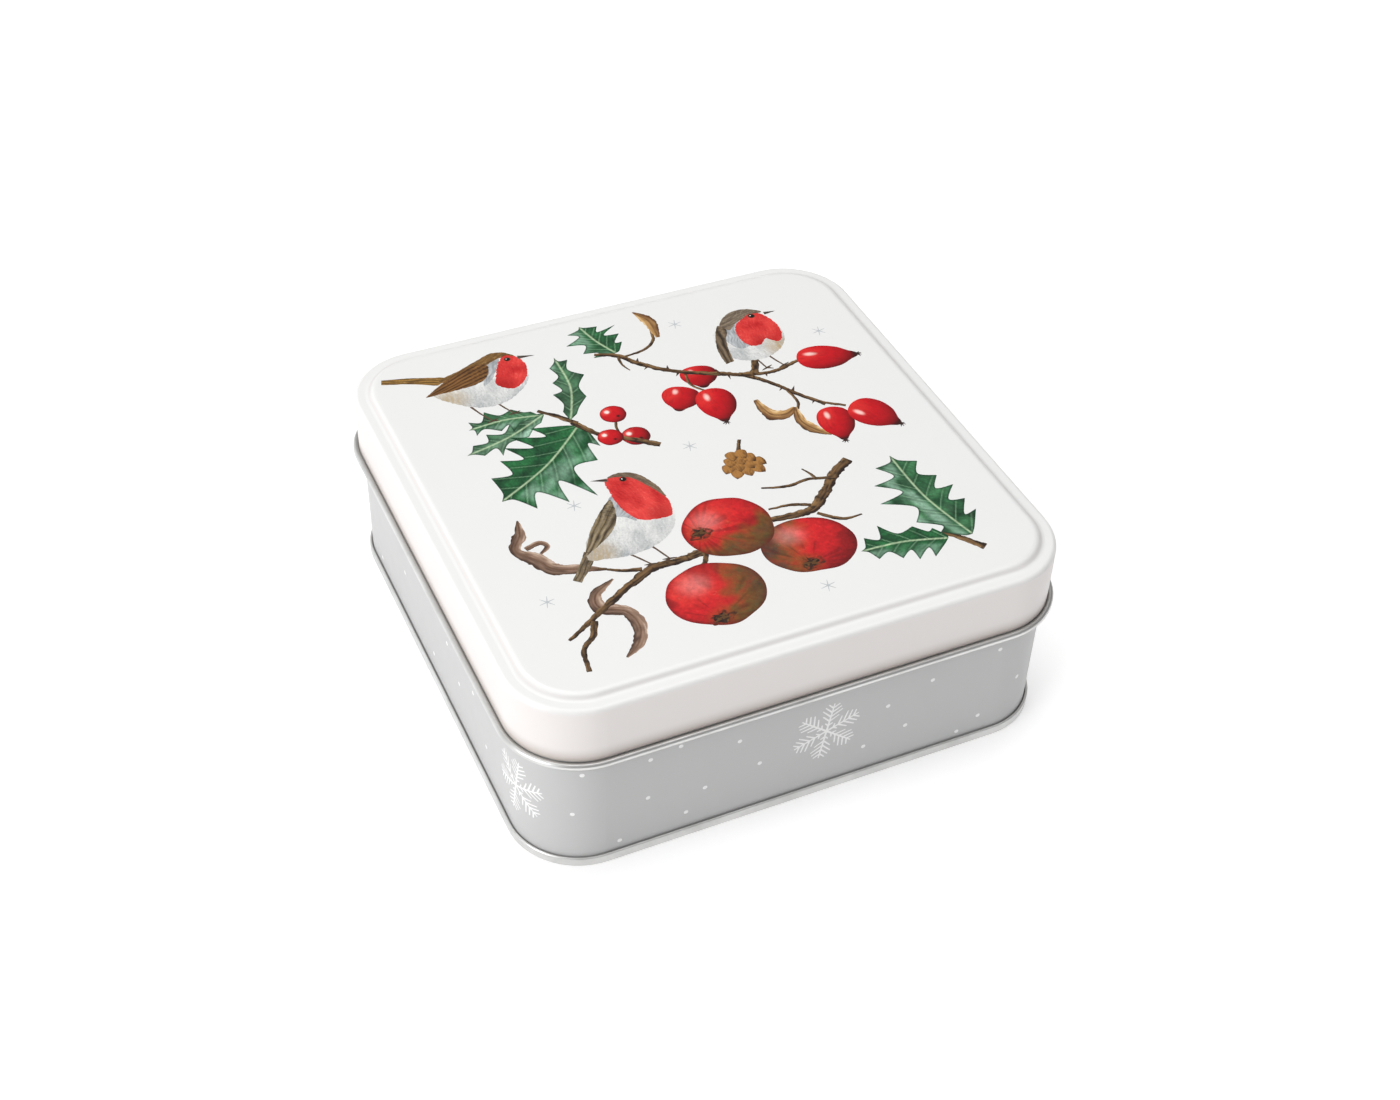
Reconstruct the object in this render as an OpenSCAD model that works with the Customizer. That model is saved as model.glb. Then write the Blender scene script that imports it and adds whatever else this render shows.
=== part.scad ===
// Square slip-lid biscuit tin: a drawn lid, a wrapped body with a lock seam
// at its back, and a bottom panel double-seamed onto the body.
//
// Origin: centre of the footprint, on the plane the tin stands on. +Z is up,
// -Y is the front and the lock seam is on +Y.

/* [Tin] */
// Width and depth over the lid's skirt
tin_w = 150; // [120:1:220]
// Height from the table to the top of the lid
tin_h = 56.5; // [45:0.5:90]
// Corner radius of the lid's skirt
corner_r = 19.5; // [12:0.5:30]
// Thickness of the tinplate
sheet = 0.25; // [0.2:0.01:0.28]

/* [Lid] */
// Height of the curl's centre above the table
curl_z = 37.7; // [25:0.1:40]
// Outer radius of the curl at the skirt's lower edge
curl_r = 0.95; // [0.8:0.05:1.4]
// Angle at which the curl's cut edge stops, from the outward direction
curl_end = 130; // [100:1:130]
// Radius of the shoulder between the skirt and the shelf
shoulder_r = 1.3; // [1.2:0.1:2.5]
// Distance from the skirt's outside to the flat top of the raised panel
panel_in = 5.9; // [5.5:0.1:10]
// Height of the raised panel above the shelf
panel_rise = 1.2; // [0.8:0.1:1.6]
// Distance over which the edge of the panel slopes down to the shelf
panel_slope = 2.9; // [2:0.1:3]

/* [Body] */
// Gap between the skirt's outside and the body's outside
body_in = 1.15; // [1.1:0.05:1.5]
// Width of the flattened curl along the body's rim
rim_w = 0.85; // [0.8:0.05:0.95]
// Length of the straight part of that curl
rim_leg = 1.3; // [0.8:0.1:2]
// Closest gap between the rim's curl and the lid's shoulder
rim_gap = 0.05; // [0.03:0.01:0.1]

/* [Lock seam] */
// Width of the hooks where the two ends of the wrap lock together
hook_w = 3.2; // [2.5:0.1:5]
// Gap between the folded layers of the lock seam
lock_gap = 0.03; // [0.02:0.01:0.05]

/* [Bottom] */
// Height of the double seam
seam_h = 2.8; // [2.4:0.1:3.2]
// Gap between the layers of the double seam
seam_gap = 0.08; // [0.05:0.01:0.08]
// Height of the bottom panel's upper face above the table
floor_z = 3.4; // [3.3:0.1:5]
// Distance from the body's outside to the step in the bottom panel
floor_step_in = 8; // [5:0.5:15]
// Depth of the step in the bottom panel
floor_drop = 0.7; // [0.6:0.1:1]

/* [Hidden] */
$fn = 64;

half = tin_w / 2;
// Every corner of the tin turns about the same four upright axes.
corner_at = half - corner_r;

// Lid
shelf_z = tin_h - panel_rise;
shoulder_z = shelf_z - shoulder_r;
panel_flat = half - panel_in;
// The slope is two equal arcs that meet halfway at this angle.
slope_angle = 2 * atan(panel_rise / panel_slope);
slope_r = panel_slope / sin(slope_angle) / 2;

// Body wall and the curl along its rim
body_half = half - body_in;
body_inner = body_half - sheet;
rim_r = rim_w / 2;
rim_at = body_inner + rim_r;
// The rim's curl stops rim_gap short of the shoulder, which it nests into.
rim_reach = shoulder_r - sheet - rim_r - rim_gap;
rim_offset = rim_at - (half - shoulder_r);
rim_z = shoulder_z + sqrt(pow(rim_reach, 2) - pow(rim_offset, 2));

// Double seam, from the body's outside outwards: end hook, body hook, wall
layer = sheet + seam_gap;
fold_r = (3 * sheet + 2 * seam_gap) / 2;
end_hook_at = body_half + seam_gap;
seam_half = body_half + 3 * layer;
body_fold_z = layer + fold_r;
seam_fold_z = seam_h - fold_r;
chuck_gap = 0.05;
chuck_inner = body_inner - chuck_gap - sheet;
seam_corner_r = 0.45;
chuck_r = 0.8;
hook_clear = 0.3;

// Bottom panel's step, two equal bends that meet upright
step_r = (floor_drop + sheet) / 2;
floor_step = body_half - floor_step_in;
floor_flat = floor_step + sheet - step_r;

// Lock seam
lock_pitch = sheet + lock_gap;
lock_r = (3 * sheet + 2 * lock_gap) / 2;
lock_half = hook_w / 2;
lock_hook_flat = hook_w - 3 * lock_r;
// The inner end's joggle: its run, and the flat before and after it
joggle_run = 0.95;
joggle_flat = 0.45;
joggle_lean = 0.1;
lock_blank = lock_half + joggle_run + joggle_flat + 0.2;
// The seam is plain lap at both ends, where the sheet is notched.
lock_z0 = seam_h + 1.6;
lock_z1 = rim_z - rim_leg - rim_r - 1.5;

// A strip bent through the angles from a0 to a1, at most 90 degrees apart.
module bend(r_out, a0, a1) {
    reach = 2 * r_out;
    mid = (a0 + a1) / 2;
    intersection() {
        difference() {
            circle(r = r_out);
            circle(r = r_out - sheet);
        }
        polygon([
            [0, 0],
            [reach * cos(a0), reach * sin(a0)],
            [reach * cos(mid), reach * sin(mid)],
            [reach * cos(a1), reach * sin(a1)]
        ]);
    }
}

// A flat strip from x0 to x1 with its upper face at z.
module flat(x0, x1, z) {
    translate([x0, z - sheet])
        square([x1 - x0, sheet]);
}

// An upright strip from z0 to z1 with its outer face at x.
module upright(x, z0, z1) {
    translate([x - sheet, z0])
        square([sheet, z1 - z0]);
}

// Carries a wall profile, x outwards and y up, round the rounded square.
module around() {
    for (side = [0:3])
        rotate(90 * side) {
            translate([0, corner_at, 0])
                rotate([90, 0, 0])
                    linear_extrude(height = 2 * corner_at)
                        children();
            translate([corner_at, corner_at, 0])
                rotate_extrude(angle = 90)
                    translate([-corner_at, 0])
                        children();
        }
}

// A flat rounded square with its upper face at z.
module plate(edge, z) {
    translate([0, 0, z - sheet])
        linear_extrude(height = sheet) {
            square([2 * edge, 2 * corner_at], center = true);
            square([2 * corner_at, 2 * edge], center = true);
            for (x = [-corner_at, corner_at], y = [-corner_at, corner_at])
                translate([x, y])
                    circle(r = edge - corner_at);
        }
}

// The curl stops short of the skirt, so its cut edge shows as a fine slot.
module lid_curl() {
    difference() {
        circle(r = curl_r);
        circle(r = curl_r - sheet);
        polygon([
            [0, 0],
            [2 * curl_r * cos(curl_end), 2 * curl_r * sin(curl_end)],
            [-2 * curl_r, 2 * curl_r],
            [-2 * curl_r, 0]
        ]);
    }
}

module lid_profile() {
    translate([half - sheet + curl_r, curl_z])
        lid_curl();
    upright(half, curl_z, shoulder_z);
    translate([half - shoulder_r, shoulder_z])
        bend(shoulder_r, 0, 90);
    flat(panel_flat + panel_slope, half - shoulder_r, shelf_z);
    translate([panel_flat + panel_slope, shelf_z + slope_r])
        bend(slope_r + sheet, 270 - slope_angle, 270);
    translate([panel_flat, tin_h - slope_r])
        bend(slope_r, 90 - slope_angle, 90);
}

module lid_shell() {
    color("white") {
        around()
            lid_profile();
        plate(panel_flat, tin_h);
    }
}

module rim_profile() {
    translate([rim_at, rim_z]) {
        bend(rim_r, 90, 180);
        bend(rim_r, 0, 90);
    }
    upright(rim_at + rim_r, rim_z - rim_leg, rim_z);
    translate([rim_at, rim_z - rim_leg])
        bend(rim_r, 270, 360);
}

module wall_profile() {
    upright(body_half, body_fold_z, rim_z);
    rim_profile();
    translate([body_inner + fold_r, body_fold_z]) {
        bend(fold_r, 180, 270);
        bend(fold_r, 270, 360);
    }
    upright(body_inner + 2 * fold_r, body_fold_z, seam_h - sheet - 2 * seam_gap);
}

// Plan of the end that stays flush outside, with its hook turned inwards.
// The seam is centred on x = 0, with the wall's outer face along y = 0.
module lock_outer_end() {
    translate([-lock_half + lock_r, -sheet])
        square([lock_blank + lock_half - lock_r, sheet]);
    translate([-lock_half + lock_r, -lock_r]) {
        bend(lock_r, 90, 180);
        bend(lock_r, 180, 270);
    }
    translate([-lock_half + lock_r, -2 * lock_pitch - sheet])
        square([lock_hook_flat, sheet]);
}

// Plan of the end that is set in by three layers, with its hook turned out.
module lock_inner_end() {
    inner = -3 * lock_pitch;
    start = -lock_blank + joggle_flat;
    polygon([
        [-lock_blank, 0],
        [start, 0],
        [start + joggle_run, inner],
        [lock_half - lock_r, inner],
        [lock_half - lock_r, inner - sheet],
        [start + joggle_run - joggle_lean, inner - sheet],
        [start - joggle_lean, -sheet],
        [-lock_blank, -sheet]
    ]);
    translate([lock_half - lock_r, -lock_pitch - lock_r]) {
        bend(lock_r, 0, 90);
        bend(lock_r, 270, 360);
    }
    translate([-lock_half + 2 * lock_r, -lock_pitch - sheet])
        square([lock_hook_flat, sheet]);
}

module body_wall() {
    color("silver") {
        difference() {
            around()
                wall_profile();
            translate([-lock_blank, body_inner - 1, lock_z0])
                cube([2 * lock_blank, sheet + 2, lock_z1 - lock_z0]);
        }
        translate([0, body_half, lock_z0])
            linear_extrude(height = lock_z1 - lock_z0) {
                lock_outer_end();
                lock_inner_end();
            }
    }
}

module bottom_profile() {
    translate([chuck_inner + seam_corner_r, seam_corner_r])
        bend(seam_corner_r, 180, 270);
    flat(chuck_inner + seam_corner_r, seam_half - seam_corner_r, sheet);
    translate([seam_half - seam_corner_r, seam_corner_r])
        bend(seam_corner_r, 270, 360);
    upright(seam_half, seam_corner_r, seam_fold_z);
    translate([seam_half - fold_r, seam_fold_z]) {
        bend(fold_r, 0, 90);
        bend(fold_r, 90, 180);
    }
    upright(end_hook_at + sheet, body_fold_z - fold_r + sheet + hook_clear, seam_fold_z);
    upright(chuck_inner + sheet, seam_corner_r, floor_z - chuck_r);
    translate([chuck_inner + sheet - chuck_r, floor_z - chuck_r])
        bend(chuck_r, 0, 90);
    flat(floor_step + step_r, chuck_inner + sheet - chuck_r, floor_z);
    translate([floor_step + step_r, floor_z - step_r])
        bend(step_r, 90, 180);
    translate([floor_flat, floor_z - step_r])
        bend(step_r, 270, 360);
}

module bottom_panel() {
    color("gainsboro") {
        around()
            bottom_profile();
        plate(floor_flat, floor_z - floor_drop);
    }
}

lid_shell();
body_wall();
bottom_panel();
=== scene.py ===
"""Looks of a square cookie tin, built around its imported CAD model.

Sizes in this script are in millimetres and become metres where a mesh, light or camera is made.
The CAD nodes stay as they are and get their finishes here. The printing on the lid and round the
body is made of thin ink films: flat outlines filled with fine triangles, painted at their corners.
"""
import math

import bmesh
import bpy
import numpy as np
from mathutils import Matrix, Vector
from mathutils.geometry import delaunay_2d_cdt


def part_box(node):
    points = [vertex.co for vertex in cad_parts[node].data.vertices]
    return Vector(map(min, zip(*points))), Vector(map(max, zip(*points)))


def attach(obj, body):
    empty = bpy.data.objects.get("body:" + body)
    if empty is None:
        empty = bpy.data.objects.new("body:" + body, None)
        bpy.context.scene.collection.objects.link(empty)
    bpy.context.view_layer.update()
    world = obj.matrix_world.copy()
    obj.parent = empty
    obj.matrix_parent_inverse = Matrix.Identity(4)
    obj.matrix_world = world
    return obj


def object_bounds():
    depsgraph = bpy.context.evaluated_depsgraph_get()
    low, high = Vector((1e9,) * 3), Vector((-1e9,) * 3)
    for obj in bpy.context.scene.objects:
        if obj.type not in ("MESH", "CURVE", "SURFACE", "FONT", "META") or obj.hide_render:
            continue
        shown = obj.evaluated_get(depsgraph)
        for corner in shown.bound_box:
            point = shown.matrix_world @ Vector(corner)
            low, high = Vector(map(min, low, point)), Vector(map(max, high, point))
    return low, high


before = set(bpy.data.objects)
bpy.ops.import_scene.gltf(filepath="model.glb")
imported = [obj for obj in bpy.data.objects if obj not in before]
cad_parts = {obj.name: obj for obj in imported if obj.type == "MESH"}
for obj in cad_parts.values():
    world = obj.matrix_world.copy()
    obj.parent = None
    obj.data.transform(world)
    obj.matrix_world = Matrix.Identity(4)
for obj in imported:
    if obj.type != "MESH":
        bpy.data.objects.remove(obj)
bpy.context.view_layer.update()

MM = 0.001
LID_LOW, LID_HIGH = (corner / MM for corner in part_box("lid_shell"))
# Every corner of the tin turns about upright axes this far from the middle.
CORNER_AT = 55.5
SHEET = 0.25
CURL_OUT = 1.65
SKIRT_HALF = LID_HIGH.x - CURL_OUT
BODY_IN = 1.15
BODY_HALF = SKIRT_HALF - BODY_IN
PANEL_Z = LID_HIGH.z


# ---------------------------------------------------------------- camera
LENS = 51.33
AZIMUTH = math.radians(-26.09)
ELEVATION = math.radians(41.66)
ROLL = math.radians(2.32)
DISTANCE = 546.2
AIM_OFFSET = Vector((1.2, -3.9, -2.0))


def make_camera():
    low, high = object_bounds()
    aim = (low + high) / 2 + AIM_OFFSET * MM
    level = math.cos(ELEVATION)
    back = Vector((math.sin(AZIMUTH) * level, -math.cos(AZIMUTH) * level, math.sin(ELEVATION)))
    right = Vector((math.cos(AZIMUTH), math.sin(AZIMUTH), 0))
    up = back.cross(right)
    rolled_right = right * math.cos(ROLL) + up * math.sin(ROLL)
    rolled_up = up * math.cos(ROLL) - right * math.sin(ROLL)
    data = bpy.data.cameras.new("camera")
    data.lens = LENS
    data.sensor_width = 36
    data.clip_start = 0.01
    camera = bpy.data.objects.new("camera", data)
    bpy.context.scene.collection.objects.link(camera)
    turn = Matrix((rolled_right, rolled_up, back)).transposed().to_4x4()
    camera.matrix_world = Matrix.Translation(aim + back * DISTANCE * MM) @ turn
    bpy.context.scene.camera = camera


# ---------------------------------------------------------------- shader nodes
class Nodes:
    """One material and short ways to add nodes to it."""

    def __init__(self, name):
        self.material = bpy.data.materials.new(name)
        self.material.use_nodes = True
        self.tree = self.material.node_tree
        self.shader = self.tree.nodes["Principled BSDF"]

    def add(self, kind, values=(), **settings):
        """A node with its settings, and its first sockets set to values or linked to sockets."""
        node = self.tree.nodes.new("ShaderNode" + kind)
        for key, value in settings.items():
            setattr(node, key, value)
        for socket, value in zip(node.inputs, values):
            self.put(socket, value)
        return node

    def put(self, socket, value):
        if isinstance(value, bpy.types.NodeSocket):
            self.tree.links.new(value, socket)
        else:
            socket.default_value = value

    def math(self, operation, *values, clamp=False):
        return self.add("Math", values, operation=operation, use_clamp=clamp).outputs[0]

    def times(self, first, second):
        return self.math("MULTIPLY", first, second)

    def rest(self, value):
        """What is left of 1."""
        return self.math("SUBTRACT", 1.0, value)

    def vector(self, operation, *values):
        node = self.add("VectorMath", values, operation=operation)
        return node.outputs["Value" if operation in ("LENGTH", "DOT_PRODUCT") else "Vector"]

    def mix(self, share, first, second):
        node = self.add("Mix", data_type="RGBA")
        self.put(node.inputs["Factor"], share)
        self.put(node.inputs[6], first)
        self.put(node.inputs[7], second)
        return node.outputs[2]

    def multiply(self, first, second):
        colour = self.mix(1.0, first, second)
        colour.node.blend_type = "MULTIPLY"
        return colour

    def mix_value(self, share, first, second):
        node = self.add("Mix", data_type="FLOAT")
        self.put(node.inputs[0], share)
        self.put(node.inputs[2], first)
        self.put(node.inputs[3], second)
        return node.outputs[0]

    def ramp(self, value, low, high):
        """0 below low, 1 above high, smooth between."""
        node = self.add("MapRange", (value, low, high, 0.0, 1.0), interpolation_type="SMOOTHSTEP")
        return node.outputs[0]

    def noise(self, size, detail=2.0, stretch=(1, 1, 1)):
        """Noise about size millimetres across, from 0 to 1, stretched along the axes."""
        place = self.add("TexCoord").outputs["Object"]
        place = self.vector("DIVIDE", place, tuple(size * MM * s for s in stretch))
        node = self.add("TexNoise")
        self.put(node.inputs["Vector"], place)
        node.inputs["Scale"].default_value = 1.0
        node.inputs["Detail"].default_value = detail
        return node.outputs["Fac"]

    def bump(self, height, depth):
        node = self.add("Bump")
        node.inputs["Distance"].default_value = depth * MM
        self.put(node.inputs["Height"], height)
        self.put(self.shader.inputs["Normal"], node.outputs["Normal"])

    def set(self, **values):
        for name, value in values.items():
            self.put(self.shader.inputs[name.replace("_", " ")], value)


def linear(code):
    """Linear colour of a hex code such as 8a5a2b."""
    values = np.array([int(code[i:i + 2], 16) / 255 for i in (0, 2, 4)])
    return np.where(values <= 0.04045, values / 12.92, ((values + 0.055) / 1.055) ** 2.4)


# ---------------------------------------------------------------- finishes
LID_WHITE = (0.79, 0.79, 0.78, 1)
LID_CLOUD = (0.74, 0.74, 0.72, 1)
# Painted shade in the crease at the foot of the panel's rise
PANEL_FOOT_SHADE = (0.60, 0.565, 0.555, 1)
# Painted shade: the skirt's white, warmer and darker than the panel's
SKIRT_WHITE_SHADED = (0.765, 0.725, 0.71, 1)
SKIRT_SHADE = (0.40, 0.33, 0.28, 1)
BODY_GREY = (0.50, 0.50, 0.50, 1)
BODY_CLOUD = (0.48, 0.48, 0.48, 1)
# Painted shadow line on the body, just below where the lid's curl sits
BODY_CURL_SHADOW = (0.16, 0.16, 0.155, 1)
TINPLATE = (0.70, 0.70, 0.69, 1)
TINPLATE_INSIDE = (0.78, 0.78, 0.77, 1)
TINPLATE_CLOUD = (0.86, 0.86, 0.855, 1)
# Painted shade on the bare metal in crevices and under the curl
TINPLATE_SHADE = (0.36, 0.35, 0.34, 1)
INK_GRAIN = (0.62, 0.60, 0.58, 1)
METALNESS = 0.85

CURL_TOP = LID_LOW.z + 2.15
SKIRT_REACH = SKIRT_HALF - CORNER_AT
BODY_REACH = BODY_HALF - CORNER_AT
CURL_SHADOW_Z = LID_LOW.z - 2.1


def past_corners(nodes):
    """A point's height, how far it lies past the corner axes, in millimetres, and which way."""
    place = nodes.vector("SCALE", nodes.add("TexCoord").outputs["Object"])
    place.node.inputs["Scale"].default_value = 1 / MM
    size = nodes.vector("ABSOLUTE", place)
    past = nodes.vector("SUBTRACT", size, (CORNER_AT, CORNER_AT, 1e6))
    past = nodes.vector("MAXIMUM", past, (0, 0, 0))
    past = nodes.vector("MULTIPLY", past, nodes.vector("SIGN", place))
    return nodes.add("SeparateXYZ", (place,)).outputs["Z"], nodes.vector("LENGTH", past), past


def outer_side(nodes, past):
    """1 where the surface looks out or up, 0 where it looks in or down."""
    out = nodes.vector("ADD", nodes.vector("NORMALIZE", past), (0, 0, 1))
    facing = nodes.vector("DOT_PRODUCT", out, nodes.add("NewGeometry").outputs["True Normal"])
    return nodes.math("GREATER_THAN", facing, 0.05)


def metal_over_enamel(nodes, enamel, enamel_rough, shown, crevice_shade, edge):
    """Enamel where shown is 1 and bare tinplate elsewhere.

    The tinplate is the duller plate of the tin's outer edges where edge is 1, and carries painted shade
    where the crevice mask is 1.
    """
    grain = nodes.noise(0.5, 3.0, (1, 1, 8))
    cloud = nodes.noise(9.0, 3.0)
    bare = nodes.mix(edge, TINPLATE_INSIDE, TINPLATE)
    bare = nodes.mix(nodes.ramp(cloud, 0.35, 0.75), bare, nodes.multiply(bare, TINPLATE_CLOUD))
    # Painted shade where the crevice mask is 1
    bare = nodes.mix(crevice_shade, bare, TINPLATE_SHADE)
    nodes.set(Base_Color=nodes.mix(shown, bare, enamel))
    nodes.set(Metallic=nodes.times(nodes.rest(shown), METALNESS))
    scuffs = nodes.math("ADD", nodes.times(grain, 0.5), cloud, clamp=True)
    nodes.set(Roughness=nodes.mix_value(shown, nodes.mix_value(scuffs, 0.22, 0.42), enamel_rough))
    peel = nodes.times(nodes.noise(1.4, 2.0), shown)
    nodes.bump(nodes.math("ADD", peel, nodes.times(grain, 0.35)), 0.006)


def lid_finish():
    nodes = Nodes("lid_enamel")
    height, reach, past = past_corners(nodes)
    enamel_edge = nodes.math("ADD", height, nodes.times(nodes.noise(2.0), 0.3))
    shown = nodes.times(outer_side(nodes, past), nodes.math("GREATER_THAN", enamel_edge, CURL_TOP))
    on_curl = nodes.math("LESS_THAN", height, CURL_TOP)
    # Painted shade darkens the metal in the slot along the skirt, and less so over the curl and under it.
    slot = nodes.rest(nodes.ramp(reach, SKIRT_REACH + 0.2, SKIRT_REACH + 0.7))
    crevice_shade = nodes.ramp(height, CURL_TOP - 0.8, CURL_TOP - 0.2)
    crevice_shade = nodes.times(crevice_shade, nodes.mix_value(slot, 0.5, 1.0))
    crevice_shade = nodes.times(crevice_shade, nodes.math("GREATER_THAN", reach, SKIRT_REACH + 0.01))
    under_curl_shade = nodes.rest(nodes.ramp(height, LID_LOW.z + 0.15, LID_LOW.z + 0.5))
    crevice_shade = nodes.math("MAXIMUM", crevice_shade, nodes.times(under_curl_shade, 0.7))
    # The white carries painted shade: warmer and darker on the skirt, dull at the foot of the panel and
    # dusky above the curl.
    # Painted shade: the skirt warmer and darker than the panel
    on_skirt = nodes.rest(nodes.ramp(height, PANEL_Z - 3.0, PANEL_Z - 1.3))
    white = nodes.mix(on_skirt, LID_WHITE, SKIRT_WHITE_SHADED)
    white = nodes.mix(nodes.times(nodes.noise(14.0, 3.0), 0.12), white, LID_CLOUD)
    # Painted shade in the crease at the foot of the panel's rise
    above_foot = nodes.rest(nodes.ramp(height, PANEL_Z - 0.75, PANEL_Z - 0.1))
    foot = nodes.times(nodes.ramp(height, PANEL_Z - 1.2, PANEL_Z - 0.85), above_foot)
    white = nodes.mix(nodes.times(foot, 0.5), white, PANEL_FOOT_SHADE)
    shade = nodes.rest(nodes.ramp(height, LID_LOW.z + 1.0, LID_LOW.z + 6.5))
    white = nodes.mix(nodes.times(shade, 0.68), white, SKIRT_SHADE)
    rough = nodes.mix_value(nodes.noise(5.0, 4.0), 0.30, 0.42)
    metal_over_enamel(nodes, white, rough, shown, crevice_shade, on_curl)
    return nodes.material


def body_finish():
    nodes = Nodes("body_enamel")
    height, reach, past = past_corners(nodes)
    outside = nodes.math("GREATER_THAN", reach, BODY_REACH - SHEET / 2)
    grey = nodes.mix(nodes.times(nodes.noise(12.0, 3.0), 0.15), BODY_GREY, BODY_CLOUD)
    # A painted shadow line round the body, just below the lid's curl when the lid is shut
    from_curl_shadow = nodes.math("ABSOLUTE", nodes.math("SUBTRACT", height, CURL_SHADOW_Z))
    curl_shadow = nodes.rest(nodes.ramp(from_curl_shadow, 0.15, 0.75))
    grey = nodes.mix(nodes.times(curl_shadow, 0.62), grey, BODY_CURL_SHADOW)
    rough = nodes.mix_value(nodes.noise(4.0, 4.0), 0.34, 0.46)
    metal_over_enamel(nodes, grey, rough, nodes.times(outside, outer_side(nodes, past)), 0.0, 0.0)
    return nodes.material


def base_finish():
    nodes = Nodes("bare_tinplate")
    height, reach, _ = past_corners(nodes)
    # Painted shade in the groove above the base seam
    crevice_shade = nodes.rest(nodes.ramp(reach, BODY_REACH, BODY_REACH + 0.7))
    crevice_shade = nodes.times(crevice_shade, nodes.ramp(height, 1.8, 2.4))
    on_seam = nodes.math("GREATER_THAN", reach, BODY_REACH)
    metal_over_enamel(nodes, TINPLATE, 0.3, 0.0, crevice_shade, on_seam)
    return nodes.material


def ink_finish(name):
    """Print under varnish: the painted colours, a little uneven, on the enamel's own gloss."""
    nodes = Nodes(name)
    paint = nodes.add("VertexColor", layer_name="paint").outputs["Color"]
    grain = nodes.times(nodes.ramp(nodes.noise(0.45, 3.0), 0.35, 0.75), 0.22)
    nodes.set(Base_Color=nodes.mix(grain, paint, nodes.multiply(paint, INK_GRAIN)))
    nodes.set(Roughness=nodes.mix_value(nodes.noise(5.0, 4.0), 0.30, 0.42))
    nodes.set(Specular_IOR_Level=0.22)
    return nodes.material


# ---------------------------------------------------------------- outlines
def curve(points, closed=False, step=0.4):
    """A smooth line through points. A point given twice in a row is a sharp corner."""
    points = np.array(points, float)
    count = len(points)
    line = []
    for i in range(count if closed else count - 1):
        start, end = points[i], points[(i + 1) % count]
        before = points[i - 1] if closed or i else start
        after = points[(i + 2) % count] if closed or i + 2 < count else end
        length = np.hypot(*(end - start))
        if length == 0:
            continue
        tangents = []
        for tangent in ((end - before) / 2, (after - start) / 2):
            tangents.append(tangent * min(1.0, length / max(np.hypot(*tangent), 1e-9)))
        t = np.linspace(0, 1, max(2, math.ceil(length / step)), endpoint=False)[:, None]
        line.append(
            (2 * t**3 - 3 * t**2 + 1) * start + (t**3 - 2 * t**2 + t) * tangents[0]
            + (3 * t**2 - 2 * t**3) * end + (t**3 - t**2) * tangents[1]
        )
    if not closed:
        line.append(points[-1:])
    return np.vstack(line)


def heading(angle):
    """Unit vector at an angle in degrees."""
    turn = math.radians(angle)
    return np.array([math.cos(turn), math.sin(turn)])


def left_of(way):
    return np.array([-way[1], way[0]])


def side_of(line):
    """Unit vectors to the left of a line, at its points."""
    along = np.gradient(line, axis=0)
    along /= np.maximum(np.hypot(along[:, 0], along[:, 1]), 1e-9)[:, None]
    return np.stack([-along[:, 1], along[:, 0]], axis=1)


def share_along(line):
    steps = np.hypot(*np.diff(line, axis=0).T)
    run = np.concatenate([[0], np.cumsum(steps)])
    return run / run[-1]


def brush_line(points, widths, rough=0.0, step=0.5, seed=0):
    """Outline of a line whose width runs evenly through widths. rough roughens its edges."""
    line = curve(points, step=step)
    share = share_along(line)
    width = np.interp(share, np.linspace(0, 1, len(widths)), widths)
    side = side_of(line)
    edges = []
    for sign in (1, -1):
        bumps = 0.5 * value_noise(line, 1.6, seed + sign) + 0.5 * value_noise(line, 0.7, seed + sign + 9)
        uneven = 1 + rough * 1.6 * (2 * bumps - 1)
        edges.append(line + side * (sign * width * uneven / 2)[:, None])
    return np.vstack([edges[0], edges[1][::-1]])


def ragged(outline, depth, size, seed):
    """The outline with its edge moved in and out by up to depth, as soft feathers have."""
    side = side_of(np.vstack([outline, outline[:1]]))[:-1]
    return outline + side * (depth * (2 * value_noise(outline, size, seed) - 1))[:, None]


def inside(points, outline):
    """Whether each point is inside the outline, by its winding number."""
    turns = np.zeros(len(points), int)
    x, y = points.T
    for (ax, ay), (bx, by) in zip(outline, np.roll(outline, -1, axis=0)):
        left = (bx - ax) * (y - ay) - (x - ax) * (by - ay)
        turns += (ay <= y) & (by > y) & (left > 0)
        turns -= (ay > y) & (by <= y) & (left < 0)
    return turns != 0


def nearest(points, line):
    """Each point's distance from a line, how far along it that is, and which side it is on."""
    best = np.full(len(points), np.inf)
    run = np.zeros(len(points))
    side = np.ones(len(points))
    travelled = 0.0
    for start, end in zip(line[:-1], line[1:]):
        step = end - start
        length = np.hypot(*step)
        if length < 1e-9:
            continue
        off = points - start
        t = np.clip(off @ step / length**2, 0, 1)
        gap = np.hypot(off[:, 0] - t * step[0], off[:, 1] - t * step[1])
        closer = gap < best
        best[closer] = gap[closer]
        run[closer] = travelled + t[closer] * length
        side[closer] = np.sign(step[0] * off[closer, 1] - step[1] * off[closer, 0])
        travelled += length
    return best, run, side


# ---------------------------------------------------------------- paint
def value_noise(points, size, seed):
    """Smooth noise from 0 to 1 about size across; size may differ along the two axes."""
    cell = np.asarray(points, float) / size
    low = np.floor(cell)
    part = cell - low
    part = part * part * (3 - 2 * part)

    def lattice(dx, dy):
        wave = np.sin((low[:, 0] + dx) * 127.1 + (low[:, 1] + dy) * 311.7 + seed * 74.7) * 43758.5453
        return wave - np.floor(wave)

    low_row = lattice(0, 0) * (1 - part[:, 0]) + lattice(1, 0) * part[:, 0]
    high_row = lattice(0, 1) * (1 - part[:, 0]) + lattice(1, 1) * part[:, 0]
    return low_row * (1 - part[:, 1]) + high_row * part[:, 1]


def noise_along(run, off, long, wide, seed):
    """Noise drawn out along a line, at points run along it and off to its side."""
    return value_noise(np.stack([run, off], axis=1), np.array([long, wide]), seed)


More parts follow.
